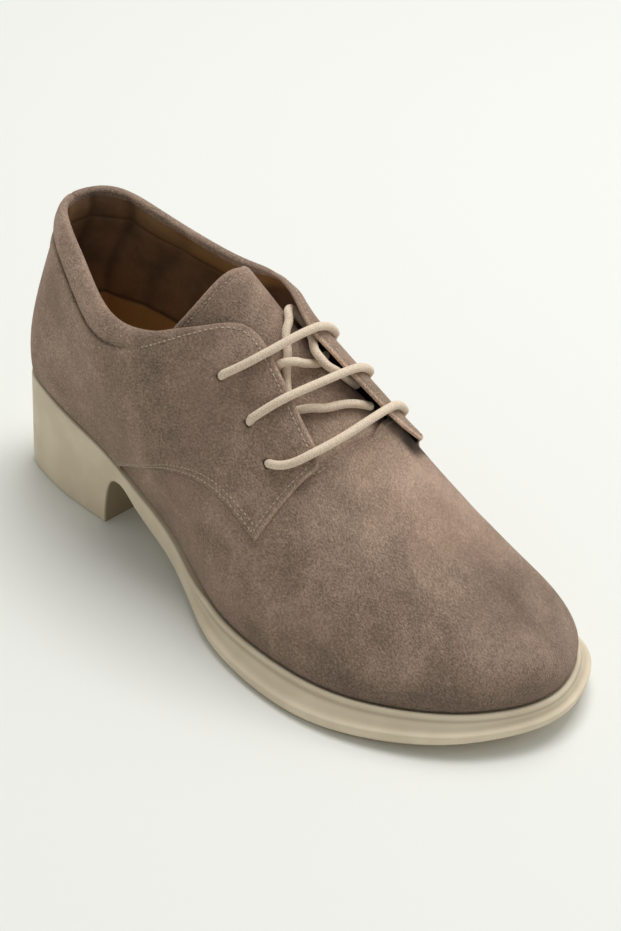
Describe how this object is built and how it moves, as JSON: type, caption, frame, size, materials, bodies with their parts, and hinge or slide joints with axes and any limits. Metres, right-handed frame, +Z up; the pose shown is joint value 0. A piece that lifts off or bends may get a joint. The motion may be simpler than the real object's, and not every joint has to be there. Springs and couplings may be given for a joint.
{
  "type": "lace up heel",
  "caption": "Right lace-up shoe with a smooth round toe, open lacing over a tongue, and a moulded sole with a low block heel.",
  "frame": {"origin": "centre of the heel's flat bottom, on the floor", "axes": "+X from heel to toe, +Y to the inner (medial) side, +Z up; a right shoe"},
  "size_m": [0.2467, 0.103, 0.1185],
  "materials": {
    "sole_rubber": "matte moulded",
    "footbed": "smooth",
    "suede": "suede nap",
    "lace_cord": "round woven cord"
  },
  "bodies": {
    "root": {"outsole": "sole_rubber", "insole": "footbed", "upper": "suede", "tongue": "suede", "lace_bar_1": "lace_cord", "lace_bar_2": "lace_cord", "lace_bar_3": "lace_cord", "lace_under_1": "lace_cord", "lace_under_2": "lace_cord", "lace_loop": "lace_cord", "lace_end": "lace_cord"}
  },
  "joints": []
}
